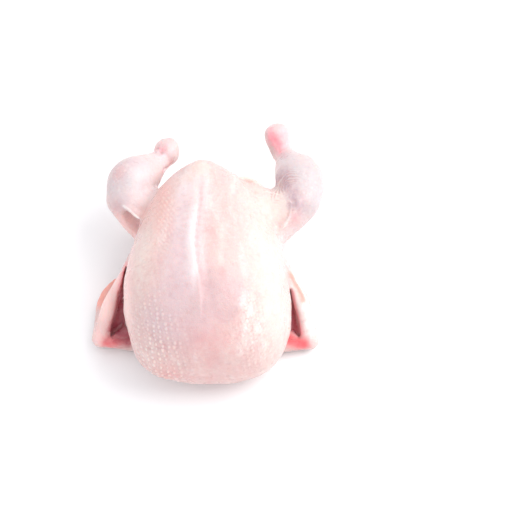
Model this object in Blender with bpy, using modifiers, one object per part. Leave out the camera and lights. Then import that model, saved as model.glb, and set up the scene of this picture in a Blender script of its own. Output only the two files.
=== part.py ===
"""Whole raw chicken, plucked and dressed, lying on its back.

Metres, +Z up. The neck end faces -Y, the tail and the legs are at +Y, the breast is up, and the
bird's right leg is at -X. The origin is the middle of the box that holds the bird, on the
surface it rests on.

Every muscle group is a loft of oval sections. The lofts are melted into one flesh by voxel
remeshing and smoothing, so that thigh, flank and breast run into each other. Wings, hocks and
skin folds are joined to it on a finer grid, the vent is cut, and the back is planed flat where
it lies on the table.
"""

import math
from collections import namedtuple

import bmesh
import bpy
import numpy as np
from mathutils import Vector

# ---- driving dimensions -------------------------------------------------------------------
BREAST_HALF_WIDTH = 0.0775
BREAST_HEIGHT = 0.117  # of the keel over the table
BODY_SHIFT = 0.004  # the trunk lies this far towards +X of the line between the wings
BODY_LEAN = 0.18  # sideways slope of the trunk, which tips the keel towards -X
BODY_MIDDLE_HEIGHT = 0.050

VENT_HALF_WIDTH = 0.019
VENT_HALF_HEIGHT = 0.014
VENT_FLOOR = 0.076  # how far forward the body cavity reaches, along Y

FLESH_VOXEL = 0.0028  # grid on which the big muscles are melted together
SKIN_VOXEL = 0.0016  # grid on which wings, hocks and folds are joined to them
TRIANGLES_WANTED = 8600

# One oval section of a loft: its centre, its half width, how far it rises and drops from the
# centre, and how square it is (2 is an ellipse).
Oval = namedtuple("Oval", "x y z wide rise drop square", defaults=(2.0,))

# One station of the trunk: its place along Y, its half width as a share of the breast's, its
# top and bottom as shares of the breast's height, and how square it is.
Station = namedtuple("Station", "y wide top bottom square")

TRUNK = [
    Station(-0.0958, 0.45, 0.50, 0.20, 2.2),
    Station(-0.0872, 0.67, 0.67, 0.10, 2.2),
    Station(-0.0720, 0.85, 0.82, 0.03, 2.2),
    Station(-0.0500, 0.96, 0.93, 0.00, 2.15),
    Station(-0.0200, 0.985, 1.00, -0.02, 2.1),
    Station(0.0100, 0.945, 0.99, -0.02, 2.05),
    Station(0.0400, 0.88, 0.95, -0.01, 2.0),
    Station(0.0650, 0.82, 0.925, 0.01, 1.90),
    Station(0.0820, 0.72, 0.905, 0.03, 1.75),
    Station(0.0930, 0.62, 0.890, 0.05, 1.60),
    Station(0.1010, 0.53, 0.865, 0.06, 1.50),
    Station(0.1070, 0.46, 0.780, 0.07, 1.55),
    Station(0.1130, 0.40, 0.600, 0.08, 1.90),
    Station(0.1210, 0.32, 0.430, 0.09, 2.00),
]

# The joints of the limbs by side, -1 for the bird's right (-X) and 1 for its left (+X).
HIP = {-1: (-0.034, 0.064, 0.040), 1: (0.038, 0.062, 0.040)}
KNEE = {-1: (-0.0765, 0.075, 0.066), 1: (0.0885, 0.073, 0.066)}
CALF = {-1: (-0.0725, 0.0985, 0.0685), 1: (0.0890, 0.104, 0.066)}
HOCK = {-1: (-0.0390, 0.142, 0.056), 1: (0.0725, 0.150, 0.053)}
STUB = {-1: (-0.0425, 0.146, 0.067), 1: (0.0668, 0.1625, 0.070)}
GROIN = {-1: (-0.0600, 0.057, 0.076), 1: (0.0680, 0.050, 0.063)}
SHOULDER = {-1: (-0.051, -0.049, 0.027), 1: (0.057, -0.049, 0.027)}
ELBOW = {-1: (-0.0665, 0.028, 0.041), 1: (0.0690, 0.026, 0.041)}
FOREARM = {-1: (-0.0885, -0.013, 0.028), 1: (0.0895, -0.014, 0.028)}
WRIST = {-1: (-0.0980, -0.043, 0.0115), 1: (0.0975, -0.045, 0.0115)}
FINGER = {-1: (-0.0955, 0.004, 0.010), 1: (0.0900, 0.002, 0.010)}
WING_TIP = {-1: (-0.0885, 0.022, 0.009), 1: (0.0790, 0.028, 0.009)}

# The gap behind each forearm, from elbow to wrist: across, along and up its middle, its half
# width and how far it drops. It is the same on both sides.
WING_POCKET = [
    (0.0740, 0.027, 0.038, 0.0012, 0.008),
    (0.0771, 0.010, 0.033, 0.0017, 0.007),
    (0.0796, -0.006, 0.030, 0.0023, 0.008),
    (0.0815, -0.022, 0.025, 0.0038, 0.011),
    (0.0830, -0.034, 0.020, 0.0052, 0.009),
    (0.0850, -0.041, 0.018, 0.0042, 0.006),
]
WEB_HEIGHTS = (0.0085, 0.0090, 0.0110, 0.0140)  # of the sheet of skin, from wrist to forearm


# ---- making shapes ------------------------------------------------------------------------
def smooth_rows(rows, steps):
    """Catmull-Rom curve through the rows, with the given steps between two of them."""
    points = np.array(rows, float)
    padded = np.vstack([2 * points[0] - points[1], points, 2 * points[-1] - points[-2]])
    curve = []
    for i in range(1, len(padded) - 2):
        before, start, end, after = padded[i - 1 : i + 3]
        for t in np.arange(steps) / steps:
            linear = (end - before) * t
            square = (2 * before - 5 * start + 4 * end - after) * t**2
            cubic = (3 * start - before - 3 * end + after) * t**3
            curve.append(0.5 * (2 * start + linear + square + cubic))
    curve.append(points[-1])
    return curve


def dome(last, before, depth, steps=5):
    """Rows past the end of a loft that shrink like a dome of the given depth."""
    onward = (last[:3] - before[:3]) / np.linalg.norm(last[:3] - before[:3])
    rows = []
    for k in range(1, steps + 1):
        angle = 0.5 * math.pi * k / (steps + 0.35)
        row = last.copy()
        row[:3] += onward * depth * math.sin(angle)
        row[3:6] *= math.cos(angle)
        rows.append(row)
    return rows


def loft(name, ovals, across=(1, 0, 0), caps=(0.01, 0.01), steps=6, around=40, facing=None):
    """Closed tube through the ovals. Their width runs along `across`, square to the line or,
    where `facing` is given, to that direction."""
    rows = smooth_rows(ovals, steps)
    rows = dome(rows[0], rows[1], caps[0])[::-1] + rows + dome(rows[-1], rows[-2], caps[1])
    shape = bmesh.new()
    rings = []
    for i, row in enumerate(rows):
        ahead = Vector(rows[min(i + 1, len(rows) - 1)][:3]) - Vector(rows[max(i - 1, 0)][:3])
        ahead = Vector(facing or ahead).normalized()
        side = Vector(across) - Vector(across).dot(ahead) * ahead
        side.normalize()
        up = side.cross(ahead)
        if up.z < 0:
            up.negate()
        wide, rise, drop, square = (float(size) for size in row[3:7])
        ring = []
        for k in range(around):
            angle = 2 * math.pi * k / around
            c, s = math.cos(angle), math.sin(angle)
            over = math.copysign(abs(c) ** (2 / square), c) * wide
            height = math.copysign(abs(s) ** (2 / square), s) * (rise if s > 0 else drop)
            ring.append(shape.verts.new(Vector(row[:3]) + over * side + height * up))
        rings.append(ring)
    for near, far in zip(rings, rings[1:]):
        for k in range(around):
            n = (k + 1) % around
            shape.faces.new((near[k], near[n], far[n], far[k]))
    shape.faces.new(rings[0][::-1])
    shape.faces.new(rings[-1])
    bmesh.ops.recalc_face_normals(shape, faces=shape.faces)
    mesh = bpy.data.meshes.new(name)
    shape.to_mesh(mesh)
    shape.free()
    return mesh


def rod(name, places, caps=(0.008, 0.008), across=(1, 0, 0)):
    """Loft of round sections, through pairs of a place and a radius."""
    ovals = [Oval(*place, radius, radius, radius) for place, radius in places]
    return loft(name, ovals, across=across, caps=caps)


def between(a, b, share):
    return tuple(Vector(a).lerp(Vector(b), share))


def linked(name, mesh):
    body = bpy.data.objects.new(name, mesh)
    bpy.context.scene.collection.objects.link(body)
    return body


def baked(body, name):
    """The object's mesh with its modifiers applied. The object itself is removed."""
    graph = bpy.context.evaluated_depsgraph_get()
    mesh = bpy.data.meshes.new_from_object(body.evaluated_get(graph))
    mesh.name = name
    bpy.data.objects.remove(body)
    return mesh


def melt(body, voxel, smoothing):
    """Adds modifiers that remesh the body as one skin and then round its creases."""
    remesh = body.modifiers.new("melt", "REMESH")
    remesh.mode = "VOXEL"
    remesh.voxel_size = voxel
    smooth = body.modifiers.new("soften", "SMOOTH")
    smooth.factor = 0.5
    smooth.iterations = smoothing


def melted(name, meshes, voxel, smoothing):
    """One mesh made by melting the given ones together."""
    shape = bmesh.new()
    for mesh in meshes:
        shape.from_mesh(mesh)
    heap = bpy.data.meshes.new(name)
    shape.to_mesh(heap)
    shape.free()
    body = linked(name, heap)
    melt(body, voxel, smoothing)
    return baked(body, name)


# ---- trunk --------------------------------------------------------------------------------
def leaned(x, z):
    return x + BODY_SHIFT - BODY_LEAN * (z - BODY_MIDDLE_HEIGHT)


def trunk():
    ovals = []
    for station in TRUNK:
        top = station.top * BREAST_HEIGHT
        bottom = station.bottom * BREAST_HEIGHT
        middle = bottom + 0.45 * (top - bottom)
        wide = station.wide * BREAST_HALF_WIDTH
        ovals.append(Oval(0, station.y, middle, wide, top - middle, middle - bottom, station.square))
    mesh = loft("trunk", ovals, caps=(0.004, 0.006), around=64, facing=(0, 1, 0))
    for vert in mesh.vertices:
        vert.co.x = leaned(vert.co.x, vert.co.z)
    return mesh


def flank(side, height):
    """The skin and muscle that run from beside the keel's tip to the thigh."""
    ovals = [
        Oval(leaned(side * 0.014, height), 0.080, height, 0.012, 0.011, 0.024),
        Oval(side * 0.038, 0.082, height - 0.010, 0.015, 0.012, 0.028),
        Oval(side * 0.060, 0.078, height - 0.018, 0.016, 0.012, 0.026),
    ]
    return loft("flank", ovals, across=(0, 1, 0), caps=(0.008, 0.008))


def rump():
    """The fleshy stump of the tail, behind and below the vent."""
    ovals = [
        Oval(BODY_SHIFT, 0.095, 0.020, 0.036, 0.018, 0.017),
        Oval(BODY_SHIFT, 0.116, 0.018, 0.027, 0.013, 0.013),
        Oval(BODY_SHIFT, 0.130, 0.018, 0.019, 0.010, 0.010),
        Oval(BODY_SHIFT, 0.141, 0.020, 0.011, 0.0075, 0.008),
    ]
    return loft("rump", ovals, caps=(0.010, 0.006))


def neck_fold():
    """The neck skin, folded under the front of the breast."""
    ovals = [
        Oval(BODY_SHIFT, -0.084, 0.020, 0.034, 0.010, 0.009),
        Oval(BODY_SHIFT, -0.076, 0.009, 0.036, 0.007, 0.007),
        Oval(BODY_SHIFT, -0.062, 0.004, 0.030, 0.006, 0.005),
    ]
    return loft("neck_fold", ovals, caps=(0.004, 0.006))


# ---- legs ---------------------------------------------------------------------------------
def thigh(side):
    hip, knee = HIP[side], KNEE[side]
    ovals = [
        Oval(*hip, 0.031, 0.030, 0.028),
        Oval(*between(hip, knee, 0.5), 0.027, 0.026, 0.027),
        Oval(*between(hip, knee, 0.9), 0.020, 0.020, 0.021),
    ]
    return loft("thigh", ovals, across=(0, 1, 0), caps=(0.014, 0.015))


def drumstick(side):
    knee, calf, hock = KNEE[side], CALF[side], HOCK[side]
    places = [
        (knee, 0.0195),
        (calf, 0.0232),
        (between(calf, hock, 0.38), 0.0185),
        (between(calf, hock, 0.70), 0.0118),
        (hock, 0.0100),
    ]
    return rod("drumstick", places, caps=(0.014, 0.006))


def hock_stub(side):
    """The hock joint, bent up, where the foot was cut off."""
    hock, stub = HOCK[side], STUB[side]
    places = [
        (between(hock, stub, -0.25), 0.0100),
        (between(hock, stub, 0.25), 0.0122),
        (between(hock, stub, 0.75), 0.0130),
        (stub, 0.0112),
    ]
    return rod("hock", places, caps=(0.007, 0.0045))


def groin_web(side):
    """The thin skin stretched from the side of the breast to the knee. Its front edge is free."""
    breast = Vector(GROIN[side])
    knee = Vector(KNEE[side]) + Vector((-side * 0.004, -0.004, 0.013))
    ovals = [
        Oval(*breast, 0.0110, 0.0018, 0.0018, 2.6),
        Oval(*between(breast, knee, 0.5), 0.0100, 0.0017, 0.0017, 2.6),
        Oval(*knee, 0.0090, 0.0018, 0.0018, 2.6),
    ]
    return loft("groin_web", ovals, across=(0, 1, 0), caps=(0.004, 0.004))


def thigh_cover():
    """The loose breast skin that drapes over the inner side of the left thigh."""
    ovals = [
        Oval(0.050, 0.069, 0.069, 0.021, 0.012, 0.022, 2.2),
        Oval(0.066, 0.067, 0.066, 0.019, 0.012, 0.022, 2.2),
        Oval(0.077, 0.065, 0.066, 0.014, 0.012, 0.020, 2.2),
    ]
    return loft("thigh_cover", ovals, across=(0, 1, 0), caps=(0.008, 0.004))


# ---- wings --------------------------------------------------------------------------------
def upper_wing(side):
    shoulder, elbow = SHOULDER[side], ELBOW[side]
    places = [
        (shoulder, 0.0150),
        (between(shoulder, elbow, 0.5), 0.0125),
        (elbow, 0.0090),
    ]
    return rod("upper_wing", places)


def forearm(side):
    elbow, middle, wrist = ELBOW[side], FOREARM[side], WRIST[side]
    ovals = [
        Oval(*elbow, 0.0085, 0.0110, 0.0120),
        Oval(*between(elbow, middle, 0.5), 0.0078, 0.0105, 0.0130),
        Oval(*middle, 0.0080, 0.0090, 0.0125),
        Oval(*between(middle, wrist, 0.6), 0.0090, 0.0085, 0.0110),
        Oval(*wrist, 0.0095, 0.0080, 0.0100),
    ]
    return loft("forearm", ovals, caps=(0.008, 0.008))


def hand(side):
    """The outer wing, folded back under the forearm."""
    wrist, finger, tip = WRIST[side], FINGER[side], WING_TIP[side]
    ovals = [
        Oval(*wrist, 0.0090, 0.0070, 0.0090),
        Oval(*between(wrist, finger, 0.5), 0.0095, 0.0060, 0.0080),
        Oval(*finger, 0.0085, 0.0050, 0.0070),
        Oval(*tip, 0.0045, 0.0035, 0.0050),
    ]
    return loft("hand", ovals, caps=(0.004, 0.005))


def wing_web(side):
    """The skin between shoulder and wrist: a low sheet inside the wing's V, and its thick front
    edge."""
    shoulder, wrist = Vector(SHOULDER[side]), Vector(WRIST[side])
    edge_z = 0.0105
    edge = [
        Oval(wrist.x, wrist.y + 0.002, edge_z, 0.0080, 0.0080, 0.0085),
        Oval(side * 0.082, wrist.y - 0.003, edge_z, 0.0062, 0.0062, 0.0070),
        Oval(side * 0.062, wrist.y - 0.004, edge_z, 0.0070, 0.0070, 0.0080),
    ]
    sheet = []
    for share, height in zip((0.0, 0.35, 0.7, 1.0), WEB_HEIGHTS):
        outer = Vector(between(WRIST[side], FOREARM[side], share))
        inner_x = side * 0.060
        middle_x = (outer.x + inner_x) / 2
        sheet.append(Oval(middle_x, outer.y, height, abs(outer.x - inner_x) / 2, 0.0030, 0.0035, 2.4))
    return [
        loft("web_edge", edge, across=(0, 1, 0), caps=(0.006, 0.006)),
        loft("web", sheet, caps=(0.004, 0.010)),
    ]


# ---- the whole bird -----------------------------------------------------------------------
def vent_cutter():
    """The mouth of the body cavity, which opens towards the tail."""
    floor_depth = 0.012
    ovals = []
    floor_end = VENT_FLOOR + floor_depth
    for y, z, swell in ((0.160, 0.056, 1.2), (0.122, 0.046, 1.0), (floor_end, 0.042, 0.95)):
        half_height = swell * VENT_HALF_HEIGHT
        ovals.append(Oval(BODY_SHIFT, y, z, swell * VENT_HALF_WIDTH, half_height, half_height))
    return linked("vent_cutter", loft("vent_cutter", ovals, caps=(0.01, floor_depth)))


def wing_pocket(side):
    """The deep, narrow gap between forearm and breast, which widens towards the wrist."""
    ovals = []
    for x, y, z, wide, drop in WING_POCKET:
        ovals.append(Oval(side * x, y, z, wide, 0.014, drop, 2.0))
    return linked("wing_pocket", loft("wing_pocket", ovals, caps=(0.003, 0.003), facing=(0, 1, 0)))


def flap_hollow():
    """The hollow in front of the right thigh, under the free edge of the skin flap."""
    ovals = [
        Oval(-0.0752, 0.0605, 0.0700, 0.0050, 0.0050, 0.0060, 2.8),
        Oval(-0.0690, 0.0565, 0.0670, 0.0085, 0.0070, 0.0125, 2.8),
        Oval(-0.0620, 0.0495, 0.0650, 0.0110, 0.0090, 0.0180, 2.8),
    ]
    return linked("flap_hollow", loft("flap_hollow", ovals, across=(0, 1, 0), caps=(0.003, 0.004)))


def table_cutter():
    """Everything below the table, to plane the back flat."""
    bpy.ops.mesh.primitive_cube_add(size=1, location=(0, 0, -0.5))
    cutter = bpy.context.object
    cutter.name = "table_cutter"
    return cutter


def cut(body, cutter):
    cutter.hide_render = True
    cutter.display_type = "WIRE"
    boolean = body.modifiers.new(cutter.name, "BOOLEAN")
    boolean.object = cutter
    boolean.operation = "DIFFERENCE"
    boolean.solver = "EXACT"


def flesh():
    big = [trunk(), rump(), neck_fold(), flank(-1, 0.062), flank(1, 0.078)]
    for side in (-1, 1):
        big += [thigh(side), drumstick(side), upper_wing(side)]
    big.append(thigh_cover())
    return melted("flesh", big, FLESH_VOXEL, 7)


def skin():
    small = [flesh()]
    for side in (-1, 1):
        small += [groin_web(side), hock_stub(side), forearm(side), hand(side)]
        small += wing_web(side)
    body = linked("skin", melted("skin", small, SKIN_VOXEL, 4))
    cutters = [vent_cutter(), wing_pocket(-1), wing_pocket(1), flap_hollow()]
    for cutter in cutters:
        cut(body, cutter)
    melt(body, SKIN_VOXEL, 3)
    thin = body.modifiers.new("thin_out", "DECIMATE")
    graph = bpy.context.evaluated_depsgraph_get()
    faces = sum(len(face.vertices) - 2 for face in body.evaluated_get(graph).data.polygons)
    thin.ratio = TRIANGLES_WANTED / faces
    mesh = baked(body, "skin")
    for cutter in cutters:
        bpy.data.objects.remove(cutter)
    return mesh


def centre(mesh):
    """Moves the mesh so that the middle of its box is over the origin."""
    xs = [vert.co.x for vert in mesh.vertices]
    ys = [vert.co.y for vert in mesh.vertices]
    shift = Vector(((min(xs) + max(xs)) / 2, (min(ys) + max(ys)) / 2, 0))
    for vert in mesh.vertices:
        vert.co -= shift


def skin_material():
    material = bpy.data.materials.new("raw_skin")
    material.use_nodes = True
    shader = material.node_tree.nodes["Principled BSDF"]
    shader.inputs["Base Color"].default_value = (0.86, 0.64, 0.60, 1)
    shader.inputs["Roughness"].default_value = 0.42
    shader.inputs["Metallic"].default_value = 0.0
    return material


def main():
    for leftover in list(bpy.data.objects):
        bpy.data.objects.remove(leftover)
    bird = bpy.data.collections.new("chicken")
    cutters = bpy.data.collections.new("cutters")
    for collection in (bird, cutters):
        bpy.context.scene.collection.children.link(collection)

    mesh = skin()
    centre(mesh)
    mesh.shade_smooth()
    mesh.materials.append(skin_material())
    chicken = bpy.data.objects.new("chicken", mesh)
    bird.objects.link(chicken)
    table = table_cutter()
    for home in list(table.users_collection):
        home.objects.unlink(table)
    cutters.objects.link(table)
    cut(chicken, table)


main()
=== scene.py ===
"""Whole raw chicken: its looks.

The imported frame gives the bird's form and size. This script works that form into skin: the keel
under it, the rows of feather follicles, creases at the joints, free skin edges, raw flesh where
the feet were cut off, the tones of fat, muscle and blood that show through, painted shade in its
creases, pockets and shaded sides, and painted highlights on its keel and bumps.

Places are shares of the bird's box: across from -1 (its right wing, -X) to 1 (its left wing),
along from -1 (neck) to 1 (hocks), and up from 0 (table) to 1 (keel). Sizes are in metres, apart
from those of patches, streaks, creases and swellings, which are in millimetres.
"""

import math
from collections import namedtuple

import bmesh
import bpy
import numpy as np
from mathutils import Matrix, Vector


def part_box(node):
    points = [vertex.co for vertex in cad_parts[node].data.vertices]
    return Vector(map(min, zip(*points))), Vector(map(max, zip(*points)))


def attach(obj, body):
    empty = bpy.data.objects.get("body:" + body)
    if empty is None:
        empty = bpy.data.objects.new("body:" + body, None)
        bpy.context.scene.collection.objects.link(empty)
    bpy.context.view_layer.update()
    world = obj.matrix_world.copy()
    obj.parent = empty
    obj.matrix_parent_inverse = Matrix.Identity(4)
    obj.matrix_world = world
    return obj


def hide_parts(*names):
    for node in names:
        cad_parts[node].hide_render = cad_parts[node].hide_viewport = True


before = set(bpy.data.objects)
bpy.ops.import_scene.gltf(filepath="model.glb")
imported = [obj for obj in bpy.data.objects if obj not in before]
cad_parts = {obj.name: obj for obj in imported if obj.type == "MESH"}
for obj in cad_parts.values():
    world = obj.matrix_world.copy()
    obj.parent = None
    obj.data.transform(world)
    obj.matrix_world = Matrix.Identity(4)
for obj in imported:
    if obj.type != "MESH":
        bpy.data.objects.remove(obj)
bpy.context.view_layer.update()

MM = 0.001
BIRD = "chicken"
SKIN = "bird_skin"
LOW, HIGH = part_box(BIRD)
MIDDLE = np.array(((LOW[0] + HIGH[0]) / 2, (LOW[1] + HIGH[1]) / 2, LOW[2]))
SPAN = np.array(((HIGH[0] - LOW[0]) / 2, (HIGH[1] - LOW[1]) / 2, HIGH[2] - LOW[2]))

# ---- driving sizes ------------------------------------------------------------------------
SKIN_GRID = 0.8 * MM  # grid on which the skin is worked
TRIANGLES_KEPT = 190000

SWELL_HEIGHT = 0.35 * MM  # of the skin's unevenness, in broad swells
SWELL_SIZE = 16 * MM
RIPPLE_HEIGHT = 0.10 * MM  # and in the ripples on them
RIPPLE_SIZE = 5 * MM
KEEL_HEIGHT = 1.5 * MM
KEEL_SOFT_SIDE = 6.5 * MM  # half width of the keel's ridge towards its right wing
KEEL_SHARP_SIDE = 2.2 * MM  # and towards its left wing
KEEL_GROOVE_DEPTH = 0.6 * MM
KEEL_GROOVE_WIDTH = 4.5 * MM
FOLLICLE_SPACING = 4.5 * MM
FOLLICLE_RADIUS = 2.0 * MM
FOLLICLE_HEIGHT = 0.85 * MM
COLUMN_STEP = 1.3  # from one column of follicles to the next, against their spacing in it
STROKE_SPACING = 3.6 * MM
STROKE_STEP = 2.1 * STROKE_SPACING  # from one stroke to the next lengthwise
STROKE_SLANT = math.radians(32)
STROKE_HEIGHT = 0.28 * MM
PEBBLE_SPACING = 4.2 * MM
PEBBLE_HEIGHT = 0.32 * MM
EDGE_RADIUS = 1.0 * MM  # of a free edge of skin
SLOT_TALLNESS = 5.0  # height of the slot beside a wing against its width
WRINKLE_SPACING = 2.9 * MM
WRINKLE_HEIGHT = 0.50 * MM
CREASE_SHADE_DEPTH = 0.12 * MM  # a hollow this deep beside its neighbours gets the full painted shade of a fold
FAINT = 0.02  # marks weaker than this are passed over
SKIN_ROUNDS = 5  # of smoothing all over
BREAST_ROUNDS = 30  # and on the breast

# A soft oval patch: its middle, its half sizes in mm across, along and up, and its strength.
Patch = namedtuple("Patch", "across along up wide long high strength", defaults=(1.0,))
# A band along a line: its places, its half width in mm and its strength.
Streak = namedtuple("Streak", "places wide strength", defaults=(1.0,))
# A crease along a line: its places, its depth and its half width in mm.
Crease = namedtuple("Crease", "places deep wide")
# A fold of flesh, or a slot, along a line: its places, and its radii in mm from end to end.
Swelling = namedtuple("Swelling", "places radii")
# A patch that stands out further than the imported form, or less far: its height in mm.
Fullness = namedtuple("Fullness", "high patch")

# ---- lines on the bird --------------------------------------------------------------------
KEEL = [
    (-0.070, 0.300, 0.905), (-0.082, 0.083, 0.939), (-0.098, -0.119, 0.975),
    (-0.108, -0.274, 0.995), (-0.096, -0.369, 0.999), (-0.078, -0.463, 0.986),
    (-0.043, -0.592, 0.944), (-0.034, -0.710, 0.883), (-0.034, -0.799, 0.812),
]
KEEL_HIGHLIGHT_BAND = [  # the painted highlight's soft pale band on its right side
    (-0.190, 0.200, 0.905), (-0.200, 0.000, 0.945), (-0.198, -0.180, 0.975),
    (-0.195, -0.330, 0.990), (-0.170, -0.480, 0.975), (-0.130, -0.610, 0.930),
]
KEEL_SHADE = [(across + 0.032, along, up) for across, along, up in KEEL]
KEEL_GROOVE = [
    (-0.007, 0.086, 0.934), (-0.006, -0.186, 0.981), (0.009, -0.426, 0.989),
    (0.036, -0.589, 0.940), (0.061, -0.707, 0.879), (0.077, -0.788, 0.817),
]
# a painted highlight: the light stripe down the breast's left lobe
LEFT_LOBE_HIGHLIGHT = [(0.131, -0.126, 0.947), (0.135, -0.298, 0.969), (0.129, -0.430, 0.969)]
THIN_MUSCLE = [  # the horseshoe where the skin lies thin over the muscle
    (0.028, -0.571, 0.948), (0.061, -0.679, 0.895), (0.140, -0.774, 0.819),
    (0.251, -0.697, 0.843), (0.282, -0.563, 0.891),
]
RIGHT_FLAP = [
    (-0.724, 0.195, 0.678), (-0.679, 0.162, 0.677), (-0.634, 0.126, 0.674),
    (-0.591, 0.098, 0.654),
]
HOLLOW_RIM = [  # the side of the hollow under the flap that turns softly into the thigh
    (-0.785, 0.200, 0.650), (-0.744, 0.147, 0.530), (-0.704, 0.124, 0.468),
    (-0.663, 0.105, 0.427),
]
LEFT_COVER = [
    (0.505, 0.336, 0.655), (0.617, 0.287, 0.679), (0.702, 0.225, 0.695),
    (0.710, 0.173, 0.670), (0.685, 0.113, 0.628), (0.634, 0.053, 0.532),
]
RIGHT_HOCK_CREASE = [
    (-0.416, 0.565, 0.559), (-0.402, 0.608, 0.548), (-0.380, 0.651, 0.497),
    (-0.337, 0.708, 0.507),
]
LEFT_HOCK_CUT = [
    (0.548, 0.900, 0.630), (0.562, 0.860, 0.615), (0.582, 0.824, 0.600),
    (0.605, 0.785, 0.575), (0.625, 0.745, 0.560),
]
RIGHT_WING_SLOT = [
    (-0.688, -0.070, 0.340), (-0.710, -0.180, 0.330), (-0.725, -0.260, 0.310),
    (-0.739, -0.320, 0.270), (-0.752, -0.370, 0.210),
]
RIGHT_SLOT_RIM = [(across - 0.012, along, up + 0.07) for across, along, up in RIGHT_WING_SLOT]
LEFT_WING_SLOT = [
    (0.674, -0.305, 0.305), (0.682, -0.330, 0.285), (0.690, -0.355, 0.260),
    (0.699, -0.385, 0.220),
]
RIGHT_WING_POCKET = [
    (-0.750, -0.310, 0.220), (-0.768, -0.380, 0.150), (-0.790, -0.450, 0.120),
    (-0.815, -0.510, 0.120),
]
LEFT_WING_POCKET = [
    (0.700, -0.350, 0.230), (0.718, -0.410, 0.140), (0.735, -0.470, 0.110),
    (0.750, -0.520, 0.110),
]
RIGHT_WING_ROLL = [
    (-0.888, -0.612, 0.100), (-0.830, -0.595, 0.088), (-0.770, -0.568, 0.075),
    (-0.700, -0.540, 0.065),
]
LEFT_WING_ROLL = [
    (0.848, -0.628, 0.100), (0.800, -0.612, 0.090), (0.750, -0.588, 0.080),
    (0.700, -0.560, 0.070),
]
RIGHT_ROLL_FACE = [
    (-0.850, -0.622, 0.130), (-0.800, -0.618, 0.140), (-0.750, -0.605, 0.150),
    (-0.690, -0.590, 0.160),
]
LEFT_ROLL_FACE = [
    (0.812, -0.635, 0.130), (0.775, -0.630, 0.137), (0.735, -0.620, 0.145),
    (0.690, -0.600, 0.155),
]
LEFT_STRIP_FLANK = [
    (0.700, -0.240, 0.390), (0.740, -0.320, 0.305), (0.782, -0.430, 0.230),
    (0.832, -0.550, 0.150),
]
HOLLOW_LINING = [
    (-0.725, 0.185, 0.520), (-0.690, 0.160, 0.460), (-0.660, 0.130, 0.410),
]
RIGHT_POCKET_FLOOR = [
    (-0.738, -0.275, 0.135), (-0.746, -0.320, 0.120), (-0.755, -0.370, 0.105),
]
TAIL_SIDE_FLAP = [
    (0.255, 0.438, 0.683), (0.310, 0.444, 0.668), (0.380, 0.438, 0.643),
    (0.460, 0.410, 0.610),
]
RIGHT_WING_CREASE = [
    (-0.880, -0.600, 0.130), (-0.832, -0.560, 0.125), (-0.790, -0.505, 0.115),
    (-0.740, -0.455, 0.110),
]
LEFT_WING_CREASE = [
    (0.835, -0.608, 0.130), (0.786, -0.575, 0.125), (0.735, -0.530, 0.110),
    (0.700, -0.500, 0.110),
]
RIGHT_WING_TIP = [
    (-0.855, -0.110, 0.103), (-0.913, -0.161, 0.104), (-0.951, -0.222, 0.110),
    (-0.961, -0.292, 0.118),
]
LEFT_WING_TIP = [
    (0.710, -0.205, 0.386), (0.753, -0.263, 0.357), (0.787, -0.316, 0.334),
    (0.812, -0.369, 0.313),
]
RIGHT_STRIP_INSIDE = [
    (-0.695, -0.130, 0.385), (-0.718, -0.215, 0.375), (-0.745, -0.290, 0.320),
    (-0.775, -0.370, 0.270), (-0.808, -0.450, 0.215), (-0.850, -0.530, 0.170),
]
LEFT_STRIP_INSIDE = [
    (0.650, -0.190, 0.435), (0.674, -0.275, 0.395), (0.705, -0.325, 0.330),
    (0.740, -0.405, 0.262), (0.775, -0.495, 0.205), (0.800, -0.558, 0.170),
]
LEFT_LEG_INSIDE = [
    (0.594, 0.455, 0.619), (0.645, 0.447, 0.699), (0.678, 0.362, 0.710),
    (0.711, 0.283, 0.713), (0.736, 0.222, 0.700),
]
TAIL_CLEFT = [
    (0.014, 0.600, 0.285), (0.014, 0.700, 0.262), (0.014, 0.775, 0.245),
    (0.014, 0.825, 0.185),
]

# ---- relief along those lines -------------------------------------------------------------
CREASES = [
    Crease(RIGHT_HOCK_CREASE, 1.1, 1.6),
    Crease(LEFT_HOCK_CUT, 0.5, 2.2),
    Crease(RIGHT_WING_CREASE, 2.0, 1.4),
    Crease(LEFT_WING_CREASE, 1.8, 1.4),
    Crease(LEFT_WING_TIP, 0.6, 1.2),
    Crease(TAIL_CLEFT, 1.2, 1.6),
]
SLOTS = [  # cut out between the wings and the body
    Swelling(RIGHT_WING_SLOT, (1.1, 2.1, 2.5, 2.7, 3.0)),
    Swelling(LEFT_WING_SLOT, (0.3, 0.7, 1.0, 1.4)),
]
SWELLINGS = [  # added to the body
    Swelling(LEFT_STRIP_FLANK, (1.5, 3.0, 3.5, 2.5)),
    Swelling(RIGHT_POCKET_FLOOR, (2.0, 4.0, 4.0)),
    Swelling(TAIL_SIDE_FLAP, (0.8, 1.8, 2.0, 0.9)),
    Swelling(RIGHT_WING_ROLL, (3.0, 6.0, 8.5, 11.0)),
    Swelling(LEFT_WING_ROLL, (3.0, 5.5, 7.5, 9.5)),
]
MOLTEN = [  # what is drawn together into soft slopes, and in how many rounds
    ([Streak(HOLLOW_RIM, 7.0), Streak(HOLLOW_LINING, 7.0)], 240),
    ([Streak(TAIL_SIDE_FLAP, 6.0, 0.8)], 14),
]

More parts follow.
